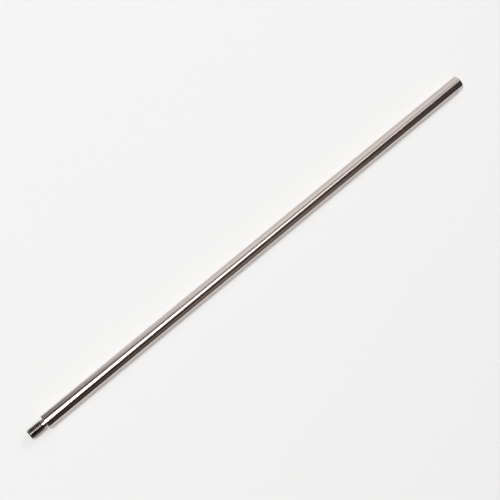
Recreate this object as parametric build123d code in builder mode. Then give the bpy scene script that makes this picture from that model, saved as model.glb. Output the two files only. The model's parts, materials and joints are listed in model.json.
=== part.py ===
from build123d import *
from math import radians, tan
import os

# Straight round shaft, ground all over, with one end turned down to a threaded stub.
# It is one piece of bar. The axis lies along X and the origin is on it, in the plane of the
# shoulder: the plain shaft runs towards +X, and the relief neck and the thread run towards -X.
# All sizes are in mm.

# Shaft
SHAFT_D = 8.0
SHAFT_LENGTH = 300.0
END_CHAMFER = 0.3
SHOULDER_CHAMFER = 0.12

# Relief neck between the shoulder and the thread, with the turning tool's corner radius
NECK_D = 5.0
NECK_LENGTH = 2.0
NECK_CORNER_R = 0.2

# Thread: M6 coarse, external, right-handed
THREAD_D = 6.0
THREAD_PITCH = 1.0
THREAD_LENGTH = 8.0
LEAD_CHAMFER = 0.75
LEAD_CHAMFER_RADIAL = 0.6
TRAIL_CHAMFER = 0.5

# Form of the thread's groove: 60 degrees between its flanks, and a narrow flat root
HALF_FLANK_ANGLE = 30.0
GROOVE_DEPTH = 0.6134 * THREAD_PITCH
CREST_WIDTH = THREAD_PITCH / 8
GROOVE_OVERCUT = 0.06 * THREAD_PITCH

# The thread is cut on a longer blank, then cut off square at both ends
GROOVE_OVERRUN = 1.0 * THREAD_PITCH
BLANK_OVERRUN = 3.0 * THREAD_PITCH

# Radii, and stations along X, worked out from those sizes
shaft_r = SHAFT_D / 2
neck_r = NECK_D / 2
thread_r = THREAD_D / 2
root_r = thread_r - GROOVE_DEPTH
mouth_r = thread_r + GROOVE_OVERCUT
thread_end_x = -NECK_LENGTH
tip_x = thread_end_x - THREAD_LENGTH
thread_mid_x = (tip_x + thread_end_x) / 2
groove_start_x = tip_x - GROOVE_OVERRUN
groove_length = THREAD_LENGTH + 2 * GROOVE_OVERRUN
blank_length = THREAD_LENGTH + 2 * BLANK_OVERRUN

# Half widths of the groove at its root and at its mouth, which is just outside the crests
flank_slope = tan(radians(HALF_FLANK_ANGLE))
crest_half_gap = (THREAD_PITCH - CREST_WIDTH) / 2
root_half_width = crest_half_gap - GROOVE_DEPTH * flank_slope
mouth_half_width = crest_half_gap + GROOVE_OVERCUT * flank_slope

# Each outline is a list of (x, radius) in a half plane through the axis
groove_outline = [
    (groove_start_x - root_half_width, root_r),
    (groove_start_x + root_half_width, root_r),
    (groove_start_x + mouth_half_width, mouth_r),
    (groove_start_x - mouth_half_width, mouth_r),
]

shaft_outline = [
    (thread_end_x, 0),
    (thread_end_x, neck_r),
    (0, neck_r),
    (0, shaft_r - SHOULDER_CHAMFER),
    (SHOULDER_CHAMFER, shaft_r),
    (SHAFT_LENGTH - END_CHAMFER, shaft_r),
    (SHAFT_LENGTH, shaft_r - END_CHAMFER),
    (SHAFT_LENGTH, 0),
]


def chamfer_waste(end_x, inward, length, depth):
    """Outline of the ring that a chamfer takes off the thread blank at one end.

    inward is +1 or -1, the way along X from that end into the thread. The ring reaches past
    the chamfer by its own length and depth, so that it starts and stops in the air.
    """
    return [
        (end_x - inward * length, thread_r - 2 * depth),
        (end_x + 2 * inward * length, thread_r + depth),
        (end_x - inward * length, thread_r + depth),
    ]


os.makedirs("parts", exist_ok=True)

with BuildPart() as threaded_shaft:
    # Round blank for the thread
    with Locations((thread_mid_x, 0, 0)):
        Cylinder(radius=thread_r, height=blank_length, rotation=(0, 90, 0))

    # Thread's groove, swept along a helix
    with BuildLine() as groove_path:
        Helix(
            pitch=THREAD_PITCH,
            height=groove_length,
            radius=root_r,
            center=(groove_start_x, 0, 0),
            direction=(1, 0, 0),
        )
    with BuildSketch(Plane.XZ):
        with BuildLine():
            Polyline(*groove_outline, close=True)
        make_face()
    sweep(path=groove_path.line, is_frenet=True, mode=Mode.SUBTRACT)

    # Both ends of the thread cut off square, then chamfered
    split(bisect_by=Plane.YZ.offset(tip_x), keep=Keep.TOP)
    split(bisect_by=Plane.YZ.offset(thread_end_x), keep=Keep.BOTTOM)
    with BuildSketch(Plane.XZ):
        with BuildLine():
            Polyline(*chamfer_waste(tip_x, 1, LEAD_CHAMFER, LEAD_CHAMFER_RADIAL), close=True)
        make_face()
        with BuildLine():
            Polyline(*chamfer_waste(thread_end_x, -1, TRAIL_CHAMFER, TRAIL_CHAMFER), close=True)
        make_face()
    revolve(axis=Axis.X, mode=Mode.SUBTRACT)

    # Relief neck, shoulder and plain shaft
    with BuildSketch(Plane.XZ) as shaft_section:
        with BuildLine():
            Polyline(*shaft_outline, close=True)
        make_face()
        inner_corner = shaft_section.vertices().sort_by_distance((0, neck_r, 0))[0]
        fillet(inner_corner, radius=NECK_CORNER_R)
    revolve(axis=Axis.X)

threaded_shaft.part.label = "threaded_shaft"
export_step(threaded_shaft.part, "parts/threaded_shaft.step")

print("volume", round(threaded_shaft.part.volume, 3), "mm3")
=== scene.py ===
import json
import math

import bpy
import bmesh
from mathutils import Matrix, Vector


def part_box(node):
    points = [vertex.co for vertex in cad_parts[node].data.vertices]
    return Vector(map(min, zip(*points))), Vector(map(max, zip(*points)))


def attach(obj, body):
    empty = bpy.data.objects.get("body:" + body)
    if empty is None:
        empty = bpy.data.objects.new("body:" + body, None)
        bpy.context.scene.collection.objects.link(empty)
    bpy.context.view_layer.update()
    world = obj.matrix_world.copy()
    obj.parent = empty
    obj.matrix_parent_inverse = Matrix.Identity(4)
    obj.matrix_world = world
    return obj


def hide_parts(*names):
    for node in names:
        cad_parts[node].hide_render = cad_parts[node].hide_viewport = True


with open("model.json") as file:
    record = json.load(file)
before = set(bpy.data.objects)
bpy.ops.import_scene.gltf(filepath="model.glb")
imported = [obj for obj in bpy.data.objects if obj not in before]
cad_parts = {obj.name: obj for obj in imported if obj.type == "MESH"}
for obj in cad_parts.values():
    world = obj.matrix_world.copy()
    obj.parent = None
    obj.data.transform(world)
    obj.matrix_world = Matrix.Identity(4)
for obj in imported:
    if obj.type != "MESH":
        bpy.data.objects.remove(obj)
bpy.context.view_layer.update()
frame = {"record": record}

# The bar is one machined piece. Its axis lies along X, the shoulder is at X = 0, the threaded
# stub points to -X and the plain end to +X. Everything is in metres, in the CAD model's frame.
NODE = "threaded_shaft"
BODY = "root"
MM = 0.001

# ------------------------------------------------------------------ sizes, from the frame
low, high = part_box(NODE)
mounts = {m["name"]: m for m in frame["record"]["mounts"]}
TIP_X = low.x
PLAIN_END_X = high.x
SHAFT_R = mounts["shaft_surface"]["dims"]["r_mm"] * MM
FLOOR_Z = -SHAFT_R

# Stub, as in the CAD model
NECK_LENGTH = 2.0 * MM
NECK_R = 2.5 * MM
NECK_CORNER_R = 0.2 * MM
THREAD_END_X = -NECK_LENGTH
THREAD_R = 3.0 * MM
PITCH = 1.0 * MM
THREAD_DEPTH = 0.6134 * PITCH
ROOT_R = THREAD_R - THREAD_DEPTH
LEAD_CHAMFER = 0.75 * MM
TIP_R = THREAD_R - 0.6 * MM
TRAIL_CHAMFER = THREAD_R - NECK_R
RUN_OUT = 1.0 * PITCH
FLANK_ANGLE = math.radians(30)
CREST_FLAT = PITCH / 8
ROOT_ROUND = 0.07 * PITCH
CREST_ROUND = 0.03 * PITCH

# Edge breaks
SHOULDER_CHAMFER = 0.12 * MM
END_CHAMFER = 0.3 * MM
EDGE_ROUND = 0.03 * MM

# ------------------------------------------------------------------ mesh density
SEGMENTS = 144
ARC_STEPS = 3
ARC_MARGIN = 0.01 * MM
SHAFT_RING_GAP = 5.0 * MM
SHAFT_MARGIN = 1.0 * MM
TIP_RINGS = 4
END_FACE_RINGS = (SHAFT_R * 0.6, SHAFT_R * 0.3)
MERGE_GAP = 1e-8
SHARP_ANGLE = math.radians(28)
GROUND, TURNED = 0, 1


# ------------------------------------------------------------------ mesh of the bar
def smooth_step(t):
    """0 below 0, 1 above 1, and an S-shaped rise between."""
    t = min(max(t, 0), 1)
    return t * t * (3 - 2 * t)


def rounded_outline(corners):
    """
    Points of an outline in which each corner (x, radius, round) is turned into an arc. A point
    just before and just after each arc keeps the shading of the straight stretches flat.
    """
    points = []
    for i, (x, r, size) in enumerate(corners):
        if size == 0:
            points.append((x, r))
            continue
        here = Vector((x, r))
        back = (Vector(corners[i - 1][:2]) - here).normalized()
        ahead = (Vector(corners[i + 1][:2]) - here).normalized()
        half = back.angle(ahead) / 2
        centre = here + (back + ahead).normalized() * size / math.sin(half)
        cut = size / math.tan(half)
        start = (here + back * cut - centre).normalized()
        end = (here + ahead * cut - centre).normalized()
        arc = [centre + start.slerp(end, k / ARC_STEPS) * size for k in range(ARC_STEPS + 1)]
        arc = [here + back * (cut + ARC_MARGIN)] + arc + [here + ahead * (cut + ARC_MARGIN)]
        points += [(spot.x, spot.y) for spot in arc]
    return points


def thread_outline():
    """One pitch of the thread, from the middle of a groove to the middle of the next."""
    half_crest = CREST_FLAT / 2
    half_groove = half_crest + THREAD_DEPTH * math.tan(FLANK_ANGLE)
    return rounded_outline([
        (-PITCH / 2, ROOT_R, 0),
        (-half_groove, ROOT_R, ROOT_ROUND),
        (-half_crest, THREAD_R, CREST_ROUND),
        (half_crest, THREAD_R, CREST_ROUND),
        (half_groove, ROOT_R, ROOT_ROUND),
        (PITCH / 2, ROOT_R, 0),
    ])


def thread_line(start_x, profile_r):
    """A helical line of (x, radius): it gains a pitch in a turn, and stops at the thread's ends."""
    line = []
    for j in range(SEGMENTS):
        x = start_x + PITCH * j / SEGMENTS
        if x <= TIP_X:
            line.append((TIP_X, TIP_R))
        elif x >= THREAD_END_X:
            line.append((THREAD_END_X, NECK_R))
        else:
            run_out = smooth_step((x - (THREAD_END_X - RUN_OUT)) / RUN_OUT)
            root = ROOT_R + (NECK_R - ROOT_R) * run_out
            lead = TIP_R + (x - TIP_X) * (THREAD_R - TIP_R) / LEAD_CHAMFER
            trail = NECK_R + (THREAD_END_X - x) * (THREAD_R - NECK_R) / TRAIL_CHAMFER
            line.append((x, min(max(profile_r, root), lead, trail)))
    return line


def tip_outline():
    """Rings on the flat face of the tip, from near its middle to its edge."""
    return [(TIP_X, TIP_R * k / TIP_RINGS) for k in range(1, TIP_RINGS + 1)]


def shaft_outline():
    """Rings of the neck, the shoulder, the plain shaft and the plain end's face."""
    first_x = SHAFT_MARGIN
    last_x = PLAIN_END_X - SHAFT_MARGIN
    rings = round((last_x - first_x) / SHAFT_RING_GAP)
    return (
        rounded_outline([
            (THREAD_END_X, NECK_R, 0),
            (0, NECK_R, NECK_CORNER_R),
            (0, SHAFT_R - SHOULDER_CHAMFER, EDGE_ROUND),
            (SHOULDER_CHAMFER, SHAFT_R, EDGE_ROUND),
            (first_x, SHAFT_R, 0),
        ])
        + [(first_x + (last_x - first_x) * k / rings, SHAFT_R) for k in range(1, rings)]
        + rounded_outline([
            (last_x, SHAFT_R, 0),
            (PLAIN_END_X - END_CHAMFER, SHAFT_R, EDGE_ROUND),
            (PLAIN_END_X, SHAFT_R - END_CHAMFER, EDGE_ROUND),
            (PLAIN_END_X, END_FACE_RINGS[0], 0),
        ])
        + [(PLAIN_END_X, END_FACE_RINGS[1])]
    )


def add_line(bm, line):
    """One vertex for each (x, radius) of the line, spread round the axis from the top."""
    verts = []
    for j, (x, r) in enumerate(line):
        angle = 2 * math.pi * j / SEGMENTS
        verts.append(bm.verts.new((x, -r * math.sin(angle), r * math.cos(angle))))
    return verts


def build_bar():
    """The whole bar as one closed bmesh of rings, with helical rows of faces on the thread."""
    bm = bmesh.new()
    tip = [add_line(bm, [p] * SEGMENTS) for p in tip_outline()]
    profile = thread_outline()[:-1]
    pitches = round((THREAD_END_X - TIP_X) / PITCH)
    thread = [
        add_line(bm, thread_line(TIP_X + i * PITCH + x, r))
        for i in range(-1, pitches + 2)
        for x, r in profile
    ]
    shaft = [add_line(bm, [p] * SEGMENTS) for p in shaft_outline()]

    def add_row(left, right, left_next, right_next):
        """Faces between two lines. Past the last vertex, each goes on as its next line."""
        for j in range(SEGMENTS):
            k = j + 1
            after = (left[k], right[k]) if k < SEGMENTS else (left_next[0], right_next[0])
            bm.faces.new((left[j], after[0], after[1], right[j]))

    for rings in (tip, shaft):
        for left, right in zip(rings, rings[1:]):
            add_row(left, right, left, right)
    for i in range(len(thread) - len(profile) - 1):
        ahead = i + len(profile)
        add_row(thread[i], thread[i + 1], thread[ahead], thread[ahead + 1])
    for ring, x in ((tip[0], TIP_X), (shaft[-1], PLAIN_END_X)):
        middle = bm.verts.new((x, 0, 0))
        for j in range(SEGMENTS):
            bm.faces.new((middle, ring[j], ring[(j + 1) % SEGMENTS]))

    bmesh.ops.remove_doubles(bm, verts=bm.verts, dist=MERGE_GAP)
    bmesh.ops.recalc_face_normals(bm, faces=bm.faces)
    for face in bm.faces:
        ground = SHOULDER_CHAMFER < face.calc_center_median().x < PLAIN_END_X - END_CHAMFER
        face.material_index = GROUND if ground else TURNED
    return bm


# ------------------------------------------------------------------ node helpers
class Nodes:
    """Short calls for building one node tree."""

    def __init__(self, tree):
        self.tree = tree
        tree.nodes.clear()

    def add(self, kind, **settings):
        node = self.tree.nodes.new("ShaderNode" + kind)
        for name, value in settings.items():
            setattr(node, name, value)
        return node

    def link(self, source, target):
        self.tree.links.new(source, target)

    def feed(self, socket, value):
        """Sets a socket to a number or colour, or links it to another node's output."""
        if isinstance(value, bpy.types.NodeSocket):
            self.link(value, socket)
        else:
            socket.default_value = value

    def math(self, operation, a, b=0.0):
        node = self.add("Math", operation=operation)
        self.feed(node.inputs[0], a)
        self.feed(node.inputs[1], b)
        return node.outputs[0]

    def rise(self, value, start, end):
        """0 where value is below start, 1 above end, and smooth between."""
        node = self.add("MapRange", interpolation_type="SMOOTHSTEP")
        self.feed(node.inputs["Value"], value)
        self.feed(node.inputs["From Min"], start)
        self.feed(node.inputs["From Max"], end)
        return node.outputs["Result"]

    def fall(self, value, start, end):
        """1 where value is below start, 0 above end, and smooth between."""
        return self.math("SUBTRACT", 1.0, self.rise(value, start, end))

    def band(self, value, start, end, soft):
        """1 between start and end, 0 outside, with edges that take twice soft."""
        low, high = (
            (self.math("SUBTRACT", edge, soft), self.math("ADD", edge, soft))
            for edge in (start, end)
        )
        return self.math("MULTIPLY", self.rise(value, *low), self.fall(value, *high))

    def noise(self, vector, scale, detail=2.0, stretch=(1, 1, 1)):
        """Noise in 0..1, finer along the axes with a larger stretch."""
        mapping = self.add("Mapping")
        self.link(vector, mapping.inputs["Vector"])
        mapping.inputs["Scale"].default_value = stretch
        node = self.add("TexNoise")
        self.link(mapping.outputs["Vector"], node.inputs["Vector"])
        node.inputs["Scale"].default_value = scale
        node.inputs["Detail"].default_value = detail
        return node.outputs["Fac"]

    def mix_colour(self, share, a, b):
        """The colour a where share is 0, b where it is 1."""
        node = self.add("Mix", data_type="RGBA")
        self.feed(node.inputs["Factor"], share)
        self.feed(node.inputs[6], a)
        self.feed(node.inputs[7], b)
        return node.outputs[2]

    def blend(self, share, a, b):
        """The number a where share is 0, b where it is 1."""
        node = self.add("Mix", data_type="FLOAT")
        self.feed(node.inputs["Factor"], share)
        self.feed(node.inputs[2], a)
        self.feed(node.inputs[3], b)
        return node.outputs[0]

    def bump(self, height, strength, distance, shader):
        node = self.add("Bump")
        node.inputs["Strength"].default_value = strength
        node.inputs["Distance"].default_value = distance
        self.link(height, node.inputs["Height"])
        self.link(node.outputs["Normal"], shader.inputs["Normal"])


def new_shader(name):
    """A material with one principled shader: the material, its nodes and the shader."""
    material = bpy.data.materials.new(name)
    material.use_nodes = True
    n = Nodes(material.node_tree)
    shader = n.add("BsdfPrincipled")
    n.link(shader.outputs["BSDF"], n.add("OutputMaterial").inputs["Surface"])
    return material, n, shader


# ------------------------------------------------------------------ steel
STEEL_TINT = (0.652, 0.584, 0.542, 1)
STEEL_TINT_DEEP = (0.592, 0.528, 0.489, 1)
EDGE_TINT = (0.80, 0.78, 0.77, 1)
# Colour of the painted shade in the thread's grooves
GROOVE_SHADE_TINT = (0.05, 0.04, 0.034, 1)
HIGHLIGHT_STRETCH = 0.6
ACROSS_THE_LAY = 0.25
MARK_HEIGHT = 0.01 * MM
FINE = 3.0

# Ground steel: a slow drift of tone, and arcs that are short along X and long round the axis
GROUND_DRIFT = 40
GROUND_DRIFT_STRETCH = (0.5, 1, 1)
GROUND_LAY = 900
GROUND_LAY_STRETCH = (4, 0.15, 0.15)
GROUND_ROUGHNESS = (0.13, 0.17)
GROUND_BUMP = 0.02

# Turned steel: a drift of tone, and fine rings
TURNED_DRIFT = 300
TURNED_RINGS = 6000
TURNED_ROUGHNESS = (0.10, 0.20)
THREAD_ROUGHNESS = (0.12, 0.20)
TURNED_BUMP = 0.05

# Painted shade in the thread's grooves: full below the first radius, none above the second
GROOVE_SHADE_R = (THREAD_R - 0.34 * MM, THREAD_R - 0.12 * MM)
GROOVE_SHADE_PATCHES = 1500
GROOVE_SHADE_SHARE = (0.6, 1.0)
THREAD_FADE = 0.2 * MM


def steel(name):
    """Principled steel whose highlights stretch along X, across marks that run round the axis."""
    material, n, shader = new_shader(name)
    shader.inputs["Metallic"].default_value = 1.0
    shader.inputs["Specular Tint"].default_value = EDGE_TINT
    shader.inputs["Anisotropic"].default_value = HIGHLIGHT_STRETCH
    shader.inputs["Anisotropic Rotation"].default_value = ACROSS_THE_LAY
    tangent = n.add("Tangent", direction_type="RADIAL", axis="X")
    n.link(tangent.outputs["Tangent"], shader.inputs["Tangent"])
    return material, n, shader


def ground_steel():
    """Centreless-ground stainless: fine arcs round the axis, and a faint drift of tone."""
    material, n, shader = steel("ground_steel")
    place = n.add("TexCoord").outputs["Object"]
    drift = n.noise(place, GROUND_DRIFT, FINE, GROUND_DRIFT_STRETCH)
    n.link(n.mix_colour(drift, STEEL_TINT, STEEL_TINT_DEEP), shader.inputs["Base Color"])
    lay = n.noise(place, GROUND_LAY, stretch=GROUND_LAY_STRETCH)
    n.link(n.blend(lay, *GROUND_ROUGHNESS), shader.inputs["Roughness"])
    n.bump(lay, GROUND_BUMP, MARK_HEIGHT, shader)
    return material


def turned_steel():
    """Lathe-turned stainless on the stub and the end faces: ring marks, and painted shade that
    darkens the thread's grooves.
    """
    material, n, shader = steel("turned_steel")
    place = n.add("TexCoord").outputs["Object"]
    axis = n.add("SeparateXYZ")
    n.link(place, axis.inputs["Vector"])
    y_squared, z_squared = (n.math("POWER", axis.outputs[name], 2.0) for name in "YZ")
    from_axis = n.math("SQRT", n.math("ADD", y_squared, z_squared))

    on_thread = n.fall(axis.outputs["X"], THREAD_END_X, THREAD_END_X + THREAD_FADE)
    # Painted shade: the thread's grooves are darkened towards the groove colour, in noisy patches
    in_groove = n.math("MULTIPLY", on_thread, n.fall(from_axis, *GROOVE_SHADE_R))
    patches = n.blend(n.noise(place, GROOVE_SHADE_PATCHES, FINE), *GROOVE_SHADE_SHARE)
    drift = n.noise(place, TURNED_DRIFT, FINE)
    clean = n.mix_colour(drift, STEEL_TINT, STEEL_TINT_DEEP)
    shaded_thread_colour = n.mix_colour(n.math("MULTIPLY", in_groove, patches), clean, GROOVE_SHADE_TINT)
    n.link(shaded_thread_colour, shader.inputs["Base Color"])

    outward = n.add("CombineXYZ")
    n.link(axis.outputs["X"], outward.inputs["X"])
    n.link(from_axis, outward.inputs["Y"])
    rings = n.noise(outward.outputs["Vector"], TURNED_RINGS)
    rough = n.blend(on_thread, n.blend(rings, *TURNED_ROUGHNESS), n.blend(rings, *THREAD_ROUGHNESS))
    n.link(rough, shader.inputs["Roughness"])
    n.bump(rings, TURNED_BUMP, MARK_HEIGHT, shader)
    return material


# ------------------------------------------------------------------ pieces
def add_object(name, bm, *materials):
    """Puts a bmesh into the scene as an object, and frees it."""
    mesh = bpy.data.meshes.new(name)
    bm.to_mesh(mesh)
    bm.free()
    for material in materials:
        mesh.materials.append(material)
    thing = bpy.data.objects.new(name, mesh)
    bpy.context.scene.collection.objects.link(thing)
    return thing


def place_bar():
    bar = add_object("machined_bar", build_bar(), ground_steel(), turned_steel())
    bar.data.shade_smooth()
    bar.data.set_sharp_from_angle(angle=SHARP_ANGLE)
    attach(bar, BODY)
    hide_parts(NODE)


# ------------------------------------------------------------------ paper, and a card that paints a reflection
PAPER = (0.80, 0.797, 0.793, 1)
PAPER_GLOSS = 0.1
MATT = 0.9
FLOOR_HALF = 1.5

# A grey card on the paper at the threaded end, on the +Y side, whose grey fades out along X. It is
# seen only in the bar's mirror: a painted darker reflection of the paper near the threaded end.
MIRRORED_SHADE_GREY = (0.20, 0.197, 0.193, 1)
CARD_OUTLINE = (
    (-0.3, 0.007), (-0.002, 0.007), (0.003, 0.013), (0.06, 0.013), (0.06, 0.6), (-0.3, 0.6),
)
CARD_FADE = (0.0, 0.06)
CARD_GAP = 0.0002


def paper():
    """Plain matt white paper."""
    material, _, shader = new_shader("paper")
    shader.inputs["Base Color"].default_value = PAPER
    shader.inputs["Roughness"].default_value = MATT
    shader.inputs["Specular IOR Level"].default_value = PAPER_GLOSS
    return material


def mirrored_shade_grey():
    """Matt grey that turns into the paper's white along X: the colour of a painted darker
    reflection.
    """
    material, n, shader = new_shader("mirror_shade_card")
    axis = n.add("SeparateXYZ")
    n.link(n.add("TexCoord").outputs["Object"], axis.inputs["Vector"])
    fade = n.rise(axis.outputs["X"], *CARD_FADE)
    n.link(n.mix_colour(fade, MIRRORED_SHADE_GREY, PAPER), shader.inputs["Base Color"])
    shader.inputs["Roughness"].default_value = MATT
    return material


def place_floor():
    bm = bmesh.new()
    bmesh.ops.create_grid(bm, x_segments=1, y_segments=1, size=FLOOR_HALF)
    floor = add_object("paper_floor", bm, paper())
    floor.location = ((TIP_X + PLAIN_END_X) / 2, 0, FLOOR_Z)


def place_card():
    """The grey card, seen only where the polished bar mirrors it: a painted darker reflection of
    the paper.
    """
    bm = bmesh.new()
    bm.faces.new([bm.verts.new((x, y, FLOOR_Z + CARD_GAP)) for x, y in CARD_OUTLINE])
    mirror_shade_card = add_object("mirror_only_shade_card", bm, mirrored_shade_grey())
    mirror_shade_card.visible_camera = False
    mirror_shade_card.visible_diffuse = False
    mirror_shade_card.visible_shadow = False


# ------------------------------------------------------------------ light
# Name, place, diameter and power
SOFTBOXES = (
    ("softbox_left", Vector((-0.60, 0.32, 2.8)), 1.4, 80.0),
    ("softbox_right", Vector((0.80, 0.36, 0.8)), 0.35, 2.0),
)
SOFTBOX_AIM = Vector((0.14, 0, 0))
AMBIENT = 0.14
BACKDROP = 0.90
WHITE = (1, 1, 1, 1)

# What the polished bar mirrors. Side is the angle from straight up towards +Y, and along the
# angle from straight up towards +X, both in degrees. A pair is a stretch of one of the angles. A
# number with rises, each (amount, from, to), is one that changes as along grows.
WALL_LEVEL = (0.20, (0.50, 1, 6), (0.37, 6, 12), (-0.12, 25, 27.5))
PANEL_SIDE = (68.0, 84.0)
PANEL_SOFT = 5.0
PANEL_LEVEL = (0.09, (-0.09, 2, 5))

GAP_START = 10.0
GAP_END = (66.0, (-12.5, 0.5, 6.5), (-8.5, 6.5, 16))
GAP_SOFT = 7.0
GAP_LEVEL = (0.05, (0.15, 1.5, 8), (0.10, 10, 16), (0.40, 17, 25))

CEILING_OVERLAP = 8.0
CEILING_END = (31.0, (-7.5, 1.5, 7), (-4.5, 7, 13))
CEILING_SOFT = 4.0
CEILING_LEVEL = (2.0, (-0.7, 18, 24), (-0.15, 25, 28))

ROOM_TINT = (1.0, 0.86, 0.79, 1)
ROOM_EDGE = (6.0, (-5.7, 2.5, 6), (3.0, 7, 15), (5.0, 17.5, 23))
ROOM_EDGE_BEND = 22.0
ROOM_EDGE_SLOPE = 0.5
ROOM_SOFT = 6.0
ROOM_LEVEL = (0.02, (0.055, 4, 18))
SHELF_SIDE = (-120.0, -40.0)
SHELF_LEVEL = (0.02, (0.16, 1, 11), (-0.16, 19, 28))
STRIPE_SIDE = (-56.0, -42.0)
STRIPE_LEVEL = (0.04, (0.16, 3, 11), (-0.16, 16, 24))

LAMP_SIDE = 9.7
LAMP_SPREAD = 8.1
LAMP_START = (-7.0, -3.0)
LAMP_LEVEL = (26.0, (-25.0, -0.4, 0.7), (2.5, 3, 7), (-3.5, 9, 16))

BEHIND_ALONG = (-24.0, -8.0)
BEHIND_SIDE = (-10.0, 20.0)
BEHIND_LEVEL = (0.06, 0.45)


def place_softboxes():
    """Round softboxes overhead, a little to the +Y side. The bar mirrors the studio instead."""
    for name, place, width, power in SOFTBOXES:
        light = bpy.data.lights.new(name, "AREA")
        light.shape = "DISK"
        light.size = width
        light.energy = power
        lamp = bpy.data.objects.new(name, light)
        lamp.location = place
        lamp.rotation_euler = (SOFTBOX_AIM - place).to_track_quat("-Z", "Y").to_euler()
        lamp.visible_glossy = False
        bpy.context.scene.collection.objects.link(lamp)


def stepped(n, along, start, *rises):
    """The number start, plus each rise as along grows."""
    total = start
    for amount, begin, end in rises:
        total = n.math("ADD", total, n.math("MULTIPLY", n.rise(along, begin, end), amount))
    return total


def wall_level(n, side, along):
    """A wall on the +Y side with a lighter panel low on it, and a dark gap above it."""
    panel = n.math("MULTIPLY", n.band(side, *PANEL_SIDE, PANEL_SOFT),
                   stepped(n, along, *PANEL_LEVEL))
    wall = n.math("ADD", stepped(n, along, *WALL_LEVEL), panel)
    gap = n.band(side, GAP_START, stepped(n, along, *GAP_END), GAP_SOFT)
    return n.blend(gap, wall, stepped(n, along, *GAP_LEVEL))


def room_level(n, side, along):
    """The dark room on the -Y side, with a shelf across it and a stripe on the shelf's edge."""
    shelf = n.band(side, *SHELF_SIDE, ROOM_SOFT)
    stripe = n.band(side, *STRIPE_SIDE, ROOM_SOFT)
    room = n.blend(shelf, stepped(n, along, *ROOM_LEVEL), stepped(n, along, *SHELF_LEVEL))
    return n.math("ADD", room, n.math("MULTIPLY", stripe, stepped(n, along, *STRIPE_LEVEL)))


def room_edge(n, along):
    """The side angle where the room ends and the ceiling begins."""
    beyond = n.math("MAXIMUM", n.math("SUBTRACT", along, ROOM_EDGE_BEND), 0.0)
    return n.math("ADD", n.math("MULTIPLY", beyond, ROOM_EDGE_SLOPE),
                  stepped(n, along, *ROOM_EDGE))


def lamp_level(n, side, along):
    """A bright lamp over the bar, bell-shaped across it."""
    from_lamp = n.math("DIVIDE", n.math("SUBTRACT", side, LAMP_SIDE), LAMP_SPREAD)
    bell = n.math("EXPONENT", n.math("MULTIPLY", n.math("MULTIPLY", from_lamp, from_lamp), -0.5))
    lamp = n.math("MULTIPLY", bell, n.rise(along, *LAMP_START))
    return n.math("MULTIPLY", lamp, stepped(n, along, *LAMP_LEVEL))


def studio_patches(n, side, along):
    """Tint and brightness of what the polished bar mirrors, in soft patches."""
    edge = room_edge(n, along)
    ceiling = n.band(side, n.math("SUBTRACT", edge, CEILING_OVERLAP),
                     stepped(n, along, *CEILING_END), CEILING_SOFT)
    level = n.blend(ceiling, wall_level(n, side, along), stepped(n, along, *CEILING_LEVEL))
    in_room = n.fall(side, n.math("SUBTRACT", edge, ROOM_SOFT), n.math("ADD", edge, ROOM_SOFT))
    level = n.blend(in_room, level, room_level(n, side, along))
    level = n.math("ADD", level, lamp_level(n, side, along))

    behind = n.blend(n.rise(side, *BEHIND_SIDE), *BEHIND_LEVEL)
    level = n.blend(n.rise(along, *BEHIND_ALONG), behind, level)
    return n.mix_colour(in_room, WHITE, ROOM_TINT), level


def studio():
    """The world: patches for mirrored rays, a white backdrop, and a little plain light."""
    world = bpy.data.worlds.new("studio")
    bpy.context.scene.world = world
    world.use_nodes = True
    n = Nodes(world.node_tree)
    out = n.add("OutputWorld")
    way = n.add("SeparateXYZ")
    n.link(n.add("TexCoord").outputs["Generated"], way.inputs["Vector"])
    side = n.math("DEGREES", n.math("ARCTAN2", way.outputs["Y"], way.outputs["Z"]))
    along = n.math("DEGREES", n.math("ARCSINE", way.outputs["X"]))

    mirrored = n.add("Background")
    tint, level = studio_patches(n, side, along)
    n.link(tint, mirrored.inputs["Color"])
    n.link(level, mirrored.inputs["Strength"])
    plain = n.add("Background")
    plain.inputs["Color"].default_value = WHITE
    ray = n.add("LightPath")
    n.link(n.blend(ray.outputs["Is Camera Ray"], AMBIENT, BACKDROP), plain.inputs["Strength"])
    choose = n.add("MixShader")
    n.link(ray.outputs["Is Glossy Ray"], choose.inputs["Fac"])
    n.link(plain.outputs["Background"], choose.inputs[1])
    n.link(mirrored.outputs["Background"], choose.inputs[2])
    n.link(choose.outputs["Shader"], out.inputs["Surface"])


# ------------------------------------------------------------------ camera
LENS_MM = 80
SENSOR_MM = 36
CLIP_START = 0.01
CAMERA_X = -0.0039
CAMERA_Z = 0.5849
TILT = math.radians(13.93)
SIDE_TILT = math.radians(0.154)
BAR_ANGLE_IN_VIEW = math.radians(39.44)


def place_camera():
    """Looks down on the bar from above its shoulder, turned so that the bar rises to the right."""
    data = bpy.data.cameras.new("camera")
    data.lens = LENS_MM
    data.sensor_width = SENSOR_MM
    data.clip_start = CLIP_START
    camera = bpy.data.objects.new("camera", data)
    bpy.context.scene.collection.objects.link(camera)
    forward = Vector((math.sin(TILT), math.sin(SIDE_TILT), -math.cos(TILT))).normalized()
    along = Vector((1, 0, 0))
    along = (along - forward * along.dot(forward)).normalized()
    across = along.cross(forward)
    right = math.cos(BAR_ANGLE_IN_VIEW) * along - math.sin(BAR_ANGLE_IN_VIEW) * across
    up = math.sin(BAR_ANGLE_IN_VIEW) * along + math.cos(BAR_ANGLE_IN_VIEW) * across
    turn = Matrix((right, up, -forward)).transposed().to_4x4()
    camera.matrix_world = Matrix.Translation((CAMERA_X, 0, CAMERA_Z)) @ turn
    bpy.context.scene.camera = camera


bpy.context.scene.view_settings.view_transform = "Standard"
place_bar()
place_floor()
place_card()
place_softboxes()
studio()
place_camera()
